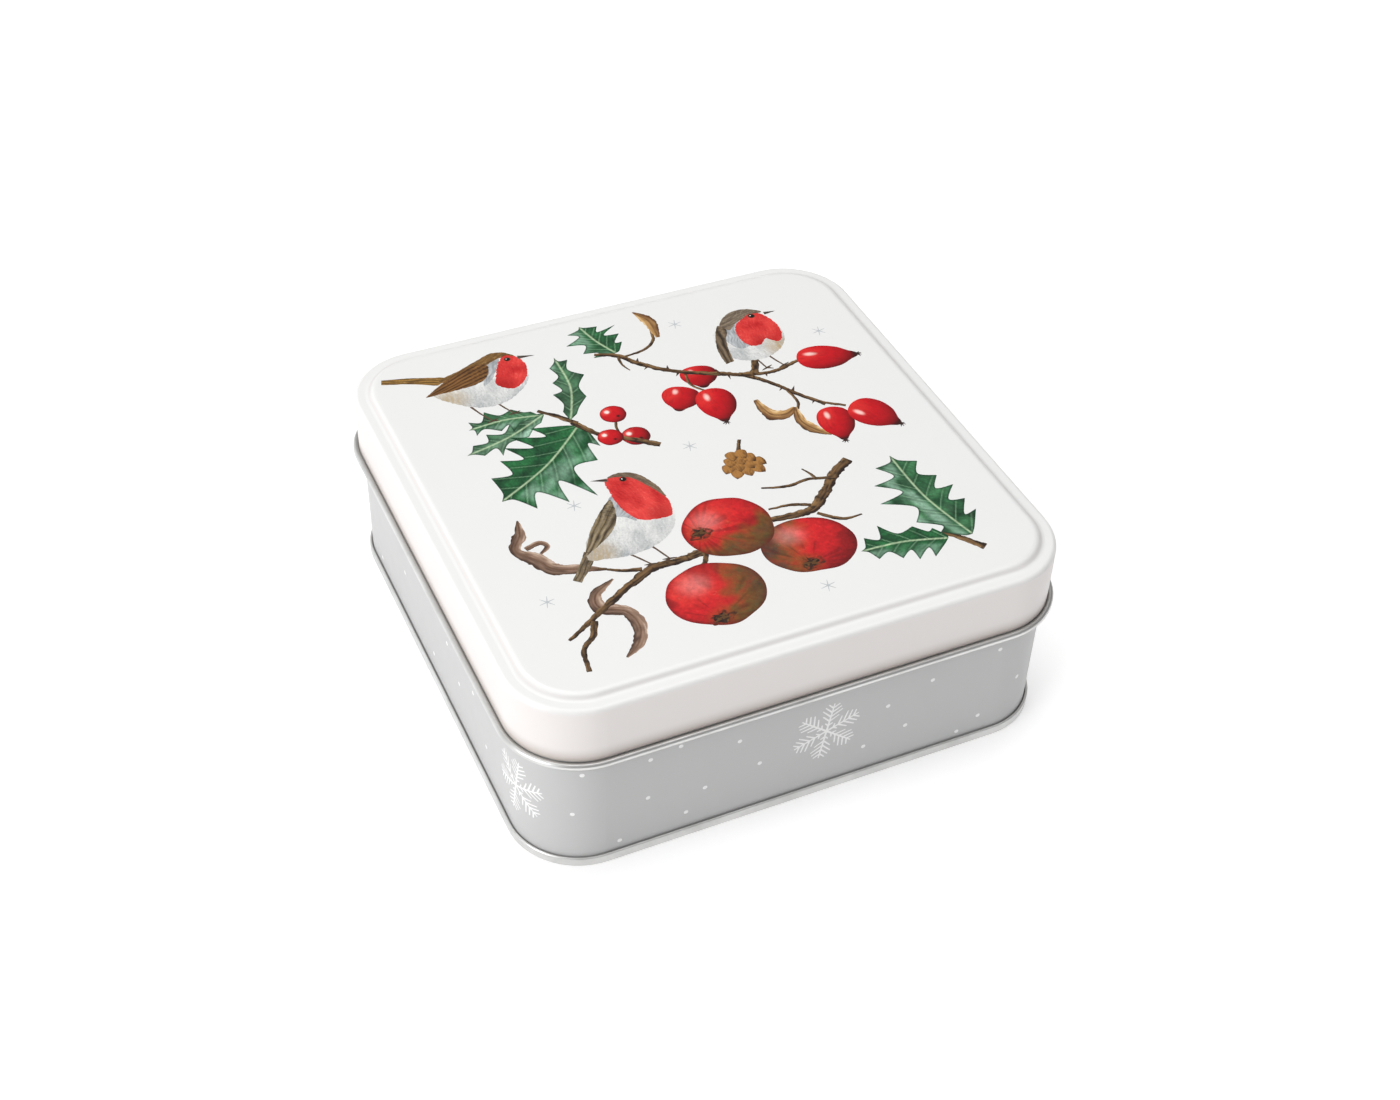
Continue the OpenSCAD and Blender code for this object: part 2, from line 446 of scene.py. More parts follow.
def streaks(points, angle, long, wide, seed):
    """Noise drawn out along an angle in degrees, like hairs or feather barbs."""
    ahead = heading(angle)
    along = points @ ahead
    across = points @ left_of(ahead) + 0.25 * np.sin(along / long * 2)
    coarse = noise_along(along, across, long, wide, seed)
    fine = noise_along(along, across, long * 0.55, wide * 0.55, seed + 13)
    return np.clip(0.5 + 1.35 * (0.6 * coarse + 0.4 * fine - 0.5), 0, 1)


def blend(first, second, share):
    """Two colours or colour codes mixed, the first where share is 0, the second where it is 1."""
    first, second = (linear(c) if isinstance(c, str) else c for c in (first, second))
    share = np.clip(share, 0, 1)[:, None]
    return first * (1 - share) + second * share


def coats(colour, *layers):
    """A colour with thin coats over it, each a colour code and how strongly it covers."""
    for code, share in layers:
        colour = blend(colour, code, share)
    return colour


def rise(low, high, values):
    t = np.clip((values - low) / (high - low), 0, 1)
    return t * t * (3 - 2 * t)


def fall(low, high, values):
    return 1 - rise(low, high, values)


def flat_colour(code):
    return lambda points: np.tile(linear(code), (len(points), 1))


WITHERED = ("503a30", "a58671", "d3bfad")


# ---------------------------------------------------------------- ink films
FILM = 0.02
FILM_DEEP = 0.015
FILM_STEP = 0.012
GRAIN = 0.3


def on_lid(points, out):
    height = np.full(len(points), PANEL_Z) + out
    return np.column_stack([points, height]) * MM


def on_body(points, out):
    """Wraps (run, height) round the body's outside; run 0 is the middle of the front."""
    radius = BODY_HALF - CORNER_AT
    arc = radius * math.pi / 2
    side_run = 2 * CORNER_AT + arc
    shifted = points[:, 0] + side_run / 2
    quarter = np.floor(shifted / side_run)
    local = shifted - quarter * side_run - side_run / 2
    past = np.clip(np.abs(local) - CORNER_AT, 0, None) / radius * np.sign(local)
    x = np.clip(local, -CORNER_AT, CORNER_AT) + (radius + out) * np.sin(past)
    y = -CORNER_AT - (radius + out) * np.cos(past)
    turn = quarter * math.pi / 2
    return np.column_stack([
        x * np.cos(turn) - y * np.sin(turn),
        x * np.sin(turn) + y * np.cos(turn),
        points[:, 1],
    ]) * MM


def filling(outlines, spacing):
    """Points of an even, slightly loose grid inside the outlines and clear of their edges."""
    low = np.min([o.min(0) for o in outlines], axis=0)
    high = np.max([o.max(0) for o in outlines], axis=0)
    rows = []
    for i, y in enumerate(np.arange(low[1], high[1], spacing * 0.866)):
        x = np.arange(low[0] + spacing / 2 * (i % 2), high[0], spacing)
        rows.append(np.column_stack([x, np.full(len(x), y)]))
    grid = np.vstack(rows)
    loose = np.column_stack([value_noise(grid, 0.1, 1), value_noise(grid, 0.1, 2)])
    grid = grid + 0.2 * spacing * (loose - 0.5)
    kept = np.zeros(len(grid), bool)
    clear = np.ones(len(grid), bool)
    for outline in outlines:
        near = np.all((grid > outline.min(0) - spacing) & (grid < outline.max(0) + spacing), axis=1)
        where = np.flatnonzero(near)
        if not len(where):
            continue
        kept[where] |= inside(grid[where], outline)
        gap, _, _ = nearest(grid[where], np.vstack([outline, outline[:1]]))
        clear[where] &= gap > 0.45 * spacing
    return grid[kept & clear]


def top_layer(points, outlines):
    """The number of the last outline that holds each point, or -1."""
    top = np.full(len(points), -1)
    for number, outline in enumerate(outlines):
        near = np.all((points >= outline.min(0)) & (points <= outline.max(0)), axis=1)
        where = np.flatnonzero(near)
        top[where[inside(points[where], outline)]] = number
    return top


def rim_edges(triangles):
    """Edges that belong to one triangle only, each in that triangle's direction."""
    edges = np.vstack([triangles[:, [0, 1]], triangles[:, [1, 2]], triangles[:, [2, 0]]])
    ordered = np.sort(edges, axis=1)
    _, first, count = np.unique(ordered, axis=0, return_index=True, return_counts=True)
    return edges[first[count == 1]]


def triangulate(points, edges, loops, merged):
    """Flat points and the triangles between them, and the given points each one came from."""
    made = delaunay_2d_cdt([Vector(p) for p in points], edges, loops, 0, merged)
    flat = np.array([tuple(v) for v in made[0]])
    return flat, np.array([f for f in made[2] if len(f) == 3]), made[3]


def painted_top(layers, spacing):
    """Points and triangles of a film's top, and the colours at each triangle's corners."""
    outlines = [outline for outline, _ in layers]
    loops, start = [], 0
    for outline in outlines:
        loops.append(list(range(start, start + len(outline))))
        start += len(outline)
    points = np.vstack([*outlines, filling(outlines, spacing)])
    flat, triangles, _ = triangulate(points, [], loops, 2e-3)
    top = top_layer(flat[triangles].mean(axis=1), outlines)
    triangles, top = triangles[top >= 0], top[top >= 0]
    colours = np.zeros((len(triangles), 3, 3))
    for number, (_, paint) in enumerate(layers):
        mine = top == number
        if mine.any():
            used, where = np.unique(triangles[mine], return_inverse=True)
            colours[mine] = paint(flat[used])[where.reshape(-1, 3)]
    return flat, triangles, colours


def underside(flat, rim, outlines):
    """Points and triangles that close a film below its rim, and which rim point each point is."""
    rim_verts = np.unique(rim)
    index = {v: i for i, v in enumerate(rim_verts)}
    edges = [(index[a], index[b]) for a, b in rim]
    under_flat, under_triangles, sources = triangulate(flat[rim_verts], edges, [], 1e-6)
    held = top_layer(under_flat[under_triangles].mean(axis=1), outlines) >= 0
    under_of = {rim_verts[source[0]]: i for i, source in enumerate(sources) if source}
    return under_flat, under_triangles[held], under_of


def drop_loose_points(mesh):
    clean = bmesh.new()
    clean.from_mesh(mesh)
    loose = [v for v in clean.verts if not v.link_faces]
    bmesh.ops.delete(clean, geom=loose, context="VERTS")
    clean.to_mesh(mesh)
    clean.free()


def film(name, layers, body, material, place=on_lid, level=0, spacing=GRAIN):
    """One piece of print. layers are (outline, paint) pairs, the later ones on top."""
    flat, triangles, colours = painted_top(layers, spacing)
    rim = rim_edges(triangles)
    under_flat, under_triangles, under_of = underside(flat, rim, [outline for outline, _ in layers])
    verts = np.vstack([place(flat, FILM + level * FILM_STEP), place(under_flat, -FILM_DEEP)])
    offset = len(flat)
    faces = [tuple(t) for t in triangles]
    faces += [tuple(t[::-1] + offset) for t in under_triangles]
    faces += [(b, a, under_of[a] + offset, under_of[b] + offset) for a, b in rim]

    vertex_colour = np.ones((len(verts), 3)) * 0.5
    vertex_colour[triangles.reshape(-1)] = colours.reshape(-1, 3)
    vertex_colour[[i + offset for i in under_of.values()]] = vertex_colour[list(under_of)]
    rest = np.array([v for face in faces[len(triangles):] for v in face])
    corners = np.vstack([colours.reshape(-1, 3), vertex_colour[rest]])

    mesh = bpy.data.meshes.new(name)
    mesh.from_pydata([tuple(v) for v in verts], [], faces)
    attribute = mesh.color_attributes.new("paint", "FLOAT_COLOR", "CORNER")
    attribute.data.foreach_set("color", np.column_stack([corners, np.ones(len(corners))]).ravel())
    drop_loose_points(mesh)
    mesh.materials.append(material)
    piece = bpy.data.objects.new(name, mesh)
    bpy.context.scene.collection.objects.link(piece)
    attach(piece, body)


# ---------------------------------------------------------------- painted motifs
LIGHT_FROM = np.array([-0.45, 0.50, 0.74])


def ball(points, centre, radii, angle=0.0):
    """Unit offsets of points in an ellipse, and how squarely its rounded face meets the light."""
    ahead = heading(angle)
    off = points - np.array(centre, float)
    along = (off @ ahead) / radii[0]
    across = (off @ left_of(ahead)) / radii[1]
    height = np.sqrt(np.clip(1 - along**2 - across**2, 0, 1))
    x = along * ahead[0] - across * ahead[1]
    y = along * ahead[1] + across * ahead[0]
    lit = x * LIGHT_FROM[0] + y * LIGHT_FROM[1] + height * LIGHT_FROM[2]
    return np.stack([along, across], axis=1), lit


def oval(centre, radii, angle=0.0, uneven=0.0, seed=0, count=72):
    ahead = heading(angle)
    t = np.linspace(0, 2 * math.pi, count, endpoint=False)
    ring = np.stack([np.cos(t), np.sin(t)], axis=1)
    ring *= (1 + uneven * (2 * value_noise(ring * 2 + 5, 1.0, seed) - 1))[:, None]
    ring *= np.array(radii)
    turned = np.column_stack([
        ring[:, 0] * ahead[0] - ring[:, 1] * ahead[1],
        ring[:, 0] * ahead[1] + ring[:, 1] * ahead[0],
    ])
    return turned + np.array(centre, float)


def washed(colour, points, amount, size, seed):
    """The colours with the uneven strength of a watercolour wash."""
    strength = value_noise(points, size, seed) * 0.6 + value_noise(points, size / 3, seed + 1) * 0.4
    return colour * (1 + amount * (2 * strength - 1))[:, None]


def on_ribbon(spots, line, widths):
    """Each spot's run along a ribbon, distance from its line, side, and the half width there."""
    gap, run, side = nearest(spots, line)
    share = run / np.hypot(*np.diff(line, axis=0).T).sum()
    return run, gap, side, np.interp(share, np.linspace(0, 1, len(widths)), widths) / 2


def twig(points, widths, seed, tone=0.0):
    """A length of bark, lit from its upper left."""
    line = curve(points, step=0.5)

    def paint(spots):
        run, gap, side, half = on_ribbon(spots, line, widths)
        left = side_of(line)[len(line) // 2]
        lit = side * gap / half * (1 if left @ LIGHT_FROM[:2] > 0 else -1)
        fibre = noise_along(run, side * gap, 2.4, 0.32, seed)
        knots = noise_along(run, side * gap, 0.8, 0.6, seed + 4)
        return coats(
            blend("2b1d15", "8f6d45", 0.36 + 0.42 * lit + 0.9 * (fibre - 0.5) + tone),
            ("b0926a", rise(0.55, 1.0, lit) * rise(0.45, 0.8, fibre) * 0.7),
            ("1f150f", rise(0.62, 0.9, knots) * 0.75),
            ("1f150f", rise(0.70, 1.0, gap / half) * 0.5),
        )

    return brush_line(points, widths, rough=0.22, seed=seed), paint


def thorn(at, direction, length):
    ahead = heading(direction)
    side = left_of(ahead)
    at = np.array(at, float)
    tip = at + ahead * length + side * 0.25 * length
    corners = [at - side * 0.45, at - side * 0.45, tip, tip, at + side * 0.5, at + side * 0.5]
    return curve(corners, closed=True, step=0.3), flat_colour("4a3322")


def holly_leaf(base, tip, width, spines, bend, pale, seed):
    """A leaf from base to tip, its edge scooped between spines, and its veins."""
    base, tip = np.array(base, float), np.array(tip, float)
    length = np.hypot(*(tip - base))
    ahead = (tip - base) / length
    left = left_of(ahead)
    middle = (base + tip) / 2 + left * bend * length
    rib = curve([base, middle, tip], step=0.4)
    rib_side = side_of(rib)
    share = share_along(rib)

    def off_rib(at, out):
        on = np.array([np.interp(at, share, rib[:, i]) for i in (0, 1)])
        normal = np.array([np.interp(at, share, rib_side[:, i]) for i in (0, 1)])
        return on + normal * out

    def half_width(at):
        return width / 2 * math.sin(math.pi * min(max(at, 0), 1) ** 0.85) ** 0.6

    edge = [base, base]
    for sign in (1, -1):
        places = np.linspace(0.1, 0.84, spines)
        sides = []
        for k, at in enumerate(places):
            wander = value_noise(np.array([[k * 3.1, sign * 2.0]]), 1.0, seed)[0] - 0.5
            at = at + 0.14 * wander
            reach = half_width(at) * (1.18 + 0.75 * wander)
            sides.append(off_rib(at - 0.40 / spines, 0.55 * sign * half_width(at - 0.26 / spines)))
            spine = off_rib(at + 0.05, sign * reach)
            sides += [spine, spine]
        sides.append(off_rib(0.93, 0.34 * sign * half_width(0.90)))
        edge += sides + [tip, tip] if sign == 1 else sides[::-1]
    outline = curve(edge, closed=True, step=0.35)

    def paint(points):
        gap, run, side = nearest(points, rib)
        off = side * gap
        edge_gap, _, _ = nearest(points, np.vstack([outline, outline[:1]]))
        cloud = value_noise(points, 3.4, seed + 2)
        patch = noise_along(run, off, 5.0, 2.6, seed + 5)
        fine = streaks(points, math.degrees(math.atan2(*ahead[::-1])) + 48, 1.3, 0.28, seed + 7)
        sheen = rise(0.30, 0.85, 1 - patch) * rise(0.3, 2.2, off)
        spacing = 0.80 * length / spines
        phase = (run - 1.05 * gap - 0.2) / spacing + 0.35 * (side > 0)
        from_vein = np.abs(phase - np.round(phase)) * spacing
        inner = fall(0.45, 0.95, gap / (width / 2))
        colour = coats(
            blend("0f3a22", "2c7642", 0.1 + 0.9 * cloud + 0.35 * (fine - 0.5)),
            ("0b2a18", rise(0.52, 0.85, patch) * 0.55),
            ("9fc7ae", sheen * (0.50 + pale)),
            ("c3dcc6", pale * 0.6 * cloud),
            ("8db890", fall(0.05, 0.36, from_vein) * inner * 0.5),
            ("0c2e1a", fall(0.1, 0.9, np.abs(from_vein - 0.7)) * inner * 0.4),
            ("bcd4ac", fall(0.10, 0.40, gap) * 0.8),
            ("0e3420", fall(0.1, 0.6, edge_gap) * 0.75),
        )
        return washed(colour, points, 0.30, 0.7, seed) * (0.84 + 0.32 * fine)[:, None]

    return outline, paint


def berry(centre, radius, seed=0, dull=0.0):
    outline = oval(centre, (radius, radius * 0.97), uneven=0.03, seed=seed, count=48)

    def paint(points):
        at, lit = ball(points, centre, (radius, radius))
        spark = np.hypot(at[:, 0] + 0.36, at[:, 1] - 0.38)
        scar = np.hypot(at[:, 0] - 0.25, at[:, 1] + 0.35)
        skin = coats(
            blend("5c040c", "c40f1a", rise(-0.5, 0.75, lit) - dull),
            ("f0554c", rise(0.80, 1.0, lit) * 0.6),
            ("ffe9e4", fall(0.10, 0.26, spark)),
            ("4b0509", rise(0.86, 1.0, np.hypot(*at.T)) * 0.6),
        )
        return blend(washed(skin, points, 0.12, 0.8, seed), "2c0a08", fall(0.08, 0.17, scar))

    return outline, paint


def hip(base, tip, width, seed, dull=0.0, sepals=True):
    """A rose hip: an egg from base to tip, with the dry remains of its flower at the tip."""
    base, tip = np.array(base, float), np.array(tip, float)
    length = np.hypot(*(tip - base))
    ahead = (tip - base) / length
    left = left_of(ahead)
    rim = [(0.0, 0.0), (0.06, 0.30), (0.22, 0.47), (0.45, 0.51), (0.70, 0.40), (0.88, 0.19), (1.0, 0.07)]
    shape = rim + [(a, -b) for a, b in rim[:0:-1]]
    outline = curve([base + ahead * a * length + left * b * width for a, b in shape], closed=True, step=0.4)
    middle = base + (tip - base) * 0.42
    angle = math.degrees(math.atan2(ahead[1], ahead[0]))

    def paint(points):
        at, lit = ball(points, middle, (length * 0.60, width * 0.53), angle)
        spark_side = 0.34 if left @ LIGHT_FROM[:2] > 0 else -0.34
        spark = np.hypot((at[:, 0] + 0.30) * 0.8, at[:, 1] - spark_side)
        fine = streaks(points, angle, 2.6, 0.4, seed)
        nose = ((points - tip) @ ahead) / length
        skin = coats(
            blend("4d0309", "c00b18", rise(-0.40, 0.75, lit) - dull),
            ("e6332f", rise(0.66, 0.98, lit) * 0.6),
            ("ffd8d0", fall(0.05, 0.20, spark) * (0.85 - dull)),
            ("8a0a14", rise(0.62, 0.9, fine) * 0.35),
        )
        return blend(washed(skin, points, 0.12, 1.0, seed), "2e0d0a", rise(-0.13, -0.02, nose) * 0.85)

    layers = [(outline, paint)]
    if sepals:
        for turn in (-0.9, -0.35, 0.3, 0.85):
            way = ahead * math.cos(turn) + left * math.sin(turn)
            reach = tip + way * (1.5 + 0.4 * math.cos(5 * turn))
            layers.append((brush_line([tip - ahead * 0.3, (tip + reach) / 2 + left * 0.15, reach],
                                      [0.6, 0.4, 0.12], step=0.3), flat_colour("33211a")))
    return layers


def apple(centre, radii, calyx, angle, green_from, seed, dusk=0.0):
    """A crab apple: red skin streaked from the calyx, a russet side darkened by dusk, a dark calyx."""
    centre, calyx = np.array(centre, float), np.array(calyx, float)
    outline = oval(centre, radii, angle, uneven=0.045, seed=seed, count=110)
    green_way = heading(green_from)

    def paint(points):
        at, lit = ball(points, centre, radii, angle)
        off = points - calyx
        away = np.hypot(*off.T)
        rays = noise_along(np.arctan2(off[:, 1], off[:, 0]) * 9, away / 7, 1.0, 1.0, seed)
        stipple = 0.6 * value_noise(points, 0.55, seed + 8) + 0.4 * value_noise(points, 1.3, seed + 11)
        green = ((points - centre) @ green_way) / max(radii)
        green = green + 0.5 * value_noise(points, 3.0, seed + 6) - 0.25
        spot = np.hypot(at[:, 0] + 0.32, at[:, 1] - 0.42)
        skin = coats(
            blend("740b10", "cc1d22", rise(-0.5, 0.8, lit) + 0.45 * (stipple - 0.5)),
            ("dd3f35", rise(0.60, 1.0, lit) * (0.25 + 0.6 * stipple)),
            ("5c531f", rise(-0.1, 0.55, green) * (0.35 + 0.40 * rays + 0.40 * stipple)),
            ("3c3634", rise(0.25, 1.0, green) * (0.1 + 0.5 * stipple + dusk)),
            ("8a4a1a", fall(1.5, 5.0, away) * 0.4),
            ("5e0a0e", rise(0.58, 0.85, rays) * 0.45),
            ("ea8a74", rise(0.80, 0.97, stipple) * rise(0.15, 0.9, lit) * 0.3),
            ("f09a94", fall(0.04, 0.50, spot) * 0.42),
            ("5c0a0d", rise(0.88, 1.02, np.hypot(*at.T)) * 0.55),
        )
        return washed(skin, points, 0.24, 0.9, seed)

    layers = [(outline, paint)]
    halo = oval(calyx, (3.3, 2.2), 10, uneven=0.35, seed=seed + 5, count=36)
    layers.append((halo, lambda points: blend(
        paint(points), "3c2014",
        0.75 * rise(0.35, 0.75, value_noise(points, 0.6, seed + 2)) + 0.15)))
    cup = oval(calyx, (1.9, 1.4), 20, uneven=0.35, seed=seed + 9, count=28)
    layers.append((cup, lambda points: blend(
        "24120c", "6e4a25", rise(0.45, 0.9, value_noise(points, 0.5, seed)))))
    for k in range(5):
        turn = k * 2 * math.pi / 5 + 0.4 + 0.3 * seed
        reach = calyx + np.array([math.cos(turn), 0.8 * math.sin(turn)]) * (2.5 + 0.4 * (k % 2))
        layers.append((brush_line([calyx, (calyx + reach) / 2 + 0.2, reach], [0.9, 0.7, 0.15], step=0.3),
                       flat_colour("352015" if k % 2 else "5b3d20")))
    return layers


def dry_leaf(points, widths, seed, dark=0.0, tones=("6b4526", "cda066", "ead0a0")):
    """A withered leaf, drawn as a curling ribbon with its rib and rolled edge."""
    line = curve(points, step=0.5)

    def paint(spots):
        run, gap, side, half = on_ribbon(spots, line, widths)
        across = side * gap / half
        fibre = noise_along(run - gap, side * gap, 1.8, 0.4, seed)
        return coats(
            blend(tones[0], tones[1], 0.55 + 0.45 * across + 0.7 * (fibre - 0.5) - dark),
            (tones[2], rise(0.35, 0.8, across) * rise(0.4, 0.8, fibre) * (0.8 - dark)),
            ("3f2817", rise(-0.62, -0.95, across) * 0.75),
            ("54351c", fall(0.08, 0.30, gap) * 0.7),
        )

    return brush_line(points, widths, rough=0.16, seed=seed), paint


STAR_ARM = 2.1
STAR_TURN = 12


def star_mark(centre):
    """Three crossed strokes."""
    centre = np.array(centre, float)
    layers = []
    for stroke in range(3):
        reach = heading(60 * stroke + STAR_TURN) * STAR_ARM
        line = [centre - reach, centre, centre + reach]
        layers.append((brush_line(line, [0.12, 0.34, 0.12], step=0.5), flat_colour("bcc0c3")))
    return layers


# ---------------------------------------------------------------- birds
TOE = 1.9
# How far in and out, and how finely, the edge of a smooth patch of feathers wanders
SLEEK = (0.12, 0.6)


def belly_paint(shade_way, warm_at, seed):
    """Soft white underparts: paper at the edges of the light, grey strokes in the shade."""
    way = heading(shade_way)
    warm_at = np.array(warm_at, float)

    def paint(points):
        deep = (points - points.mean(axis=0)) @ way
        deep = deep / np.abs(deep).max()
        hairs = streaks(points, shade_way + 8, 1.8, 0.32, seed)
        fine = streaks(points, shade_way - 6, 0.9, 0.24, seed + 3)
        fine = 0.5 * fine + 0.5 * value_noise(points, 0.3, seed + 8)
        cloud = value_noise(points, 3.2, seed + 6)
        shade = rise(-0.9, 1.0, deep + 0.5 * (hairs - 0.5) + 0.9 * (cloud - 0.5))
        warmth = fall(1.0, 7.5, np.hypot(*(points - warm_at).T))
        down = coats(
            blend("e6e6e3", "9ba0a3", shade * 0.9),
            ("777a7a", rise(0.52, 0.85, fine) * rise(-0.9, 0.9, deep) * 0.5),
            ("8a8069", rise(0.55, 0.95, 1 - hairs) * rise(0.25, 1.0, deep) * 0.6),
            ("f6f5f2", rise(0.58, 0.90, 1 - fine) * 0.35),
            ("b89a66", warmth * (0.30 + 0.5 * hairs)),
        )
        return washed(down, points, 0.05, 0.8, seed)

    return paint


def breast_paint(grain_angle, shade_at, seed):
    shade_at = np.array(shade_at, float)

    def paint(points):
        hairs = streaks(points, grain_angle, 2.0, 0.34, seed)
        fine = streaks(points, grain_angle + 25, 0.8, 0.24, seed + 2)
        cloud = value_noise(points, 3.0, seed + 5)
        deep = fall(0.5, 5.5, np.hypot(*(points - shade_at).T))
        return coats(
            blend("b9161a", "ea4842", 0.10 + 0.8 * cloud + 0.35 * (hairs - 0.5)),
            ("f07f72", rise(0.66, 0.98, fine) * cloud * 0.45),
            ("930f14", rise(0.60, 0.98, 1 - fine) * (1 - cloud) * 0.6),
            ("a01516", deep * 0.6),
        )

    return paint


def plumage_paint(angle, dark, light, pale="c59c62", seed=0, spacing=1.5, lined=0.65):
    """Back and tail: rows of feathers, each with a dark edge and a paler vane."""
    ahead = heading(angle)

    def paint(points):
        along, across = points @ ahead, points @ left_of(ahead)
        wave = across + 0.20 * np.sin(along * 0.55) + 0.25 * value_noise(points, 2.4, seed)
        from_edge = np.abs(wave / spacing - np.round(wave / spacing)) * spacing
        hairs = streaks(points, angle + 4, 3.0, 0.34, seed)
        barbs = streaks(points, angle + 30, 0.9, 0.22, seed + 3)
        vanes = coats(
            blend(dark, light, 0.15 + 0.9 * hairs),
            (pale, rise(0.62, 0.95, barbs) * 0.40),
            ("23180f", fall(0.05, 0.34, from_edge) * lined),
        )
        return washed(vanes, points, 0.16, 0.9, seed)

    return paint


def wing_paint(focus, dark, light, pale, seed, fan):
    """A folded wing: long feathers that draw together towards focus, scaled at the shoulder."""
    focus = np.array(focus, float)

    def paint(points):
        off = points - focus
        away = np.hypot(off[:, 0], off[:, 1])
        middle = off.mean(axis=0)
        turn = np.arctan2(off[:, 1], off[:, 0]) - math.atan2(middle[1], middle[0])
        far = rise(0.45, 0.85, (away - away.min()) / np.ptp(away))
        feather = np.degrees(turn) / fan + 0.25 * value_noise(points, 3.0, seed)
        from_edge = np.abs(feather - np.round(feather))
        scale = away / 1.7 + 0.5 * (np.round(feather) % 2)
        from_tip = np.abs(scale - np.round(scale))
        hairs = noise_along(away, np.degrees(turn), 2.6, fan * 0.28, seed + 1)
        vanes = coats(
            blend(dark, light, 0.10 + 0.85 * hairs),
            (pale, rise(0.20, 0.42, from_edge) * (0.25 + 0.5 * hairs) * 0.7),
            ("1e1610", fall(0.02, 0.17, from_edge) * 0.7),
            ("1e1610", fall(0.02, 0.20, from_tip) * far * 0.5),
        )
        return washed(vanes, points, 0.14, 0.8, seed)

    return paint


def down_paint(angle, seed):
    """The blue-grey border between the red of the face and the brown of the back."""
    def paint(points):
        hairs = streaks(points, angle, 1.8, 0.3, seed)
        return blend("70757a", "c3c6c8", 0.15 + 0.9 * hairs)

    return paint


def beak(base, tip, depth):
    base, tip = np.array(base, float), np.array(tip, float)
    side = left_of(tip - base) / np.hypot(*(tip - base))
    upper, lower = base + side * depth / 2, base - side * depth / 2

    def paint(points):
        gap, _, _ = nearest(points, np.vstack([base, tip]))
        return blend("2b2420", "6b6058", rise(0.1, 0.35, gap))

    return curve([upper, upper, tip, tip, lower, lower], closed=True, step=0.3), paint


def eye(centre, radius):
    centre = np.array(centre, float)
    spark = centre + np.array([-0.28, 0.3]) * radius
    return [
        (oval(centre, (radius * 1.25, radius * 1.15), count=28), flat_colour("5a3a22")),
        (oval(centre, (radius, radius), count=28), flat_colour("0c0a0a")),
        (oval(spark, (radius * 0.26, radius * 0.24), count=14), flat_colour("f4f2ee")),
    ]


def leg(points):
    return brush_line(points, [0.65, 0.5, 0.5, 0.4], rough=0.1), flat_colour("5d4a3a")


def foot(at, angles):
    at = np.array(at, float)
    toes = [heading(angle) * TOE for angle in angles]
    return [
        (brush_line([at, at + toe * 0.6, at + toe], [0.6, 0.5, 0.15], step=0.3), flat_colour("4c3a2c"))
        for toe in toes
    ]


def plumes(points, paint, seed, depth=0.20, size=0.5):
    """A patch of plumage: a closed outline with a ragged edge."""
    return ragged(curve(points, closed=True), depth, size, seed), paint


def perched_bird():
    """Side view, looking right, tail out to the left."""
    body = [
        (-55, 52), (-51, 46), (-45, 41.5), (-38, 41), (-31, 45), (-27, 51), (-27, 57), (-30, 61.5),
        (-36, 61), (-43, 58), (-50, 56),
    ]
    breast = [
        (-30.5, 61), (-27, 58.5), (-26.5, 53.5), (-29, 48.5), (-33, 46), (-37, 49), (-35.5, 54),
        (-33.5, 58),
    ]
    border = [(-32, 61.5), (-34, 57), (-37.5, 52), (-40.5, 50), (-38.5, 55), (-35.5, 61)]
    back = [
        (-27.5, 59), (-30, 62.5), (-34, 63.5), (-39, 61.5), (-45, 59), (-51, 57), (-49, 55),
        (-42, 56), (-36, 59), (-32, 60.5),
    ]
    wing = [
        (-36.5, 58.5), (-38, 54), (-42, 51.5), (-49, 51), (-57, 51), (-57, 51), (-52, 54.5),
        (-45, 58.5), (-40, 60),
    ]
    tail = brush_line([(-66, 62), (-58, 59.5), (-49, 55.5)], [2.0, 2.8, 4.0], rough=0.06)
    return [
        leg([(-47, 42.5), (-45.5, 38.5), (-43.5, 34.5)]), *foot((-43.5, 34.5), (20, -15, 190)),
        leg([(-40, 42), (-38.5, 38.5), (-37, 35.5)]), *foot((-37, 35.5), (15, -20, 185)),
        (tail, plumage_paint(-20, "4a3218", "a9803f", seed=3, spacing=1.1)),
        plumes(body, belly_paint(-100, (-51, 47), 5), 1),
        plumes(border, down_paint(60, 8), 2),
        plumes(back, plumage_paint(22, "453019", "8d6838", seed=11, spacing=2.3, lined=0.3), 3, *SLEEK),
        plumes(wing, wing_paint((-68, 46), "442c16", "80542a", "a87a44", 17, 2.8), 4, *SLEEK),
        plumes(breast, breast_paint(70, (-35, 48), 21), 5, 0.22),
        beak((-27.3, 59), (-22.5, 58.2), 1.5), *eye((-30.3, 59.2), 0.75),
    ]


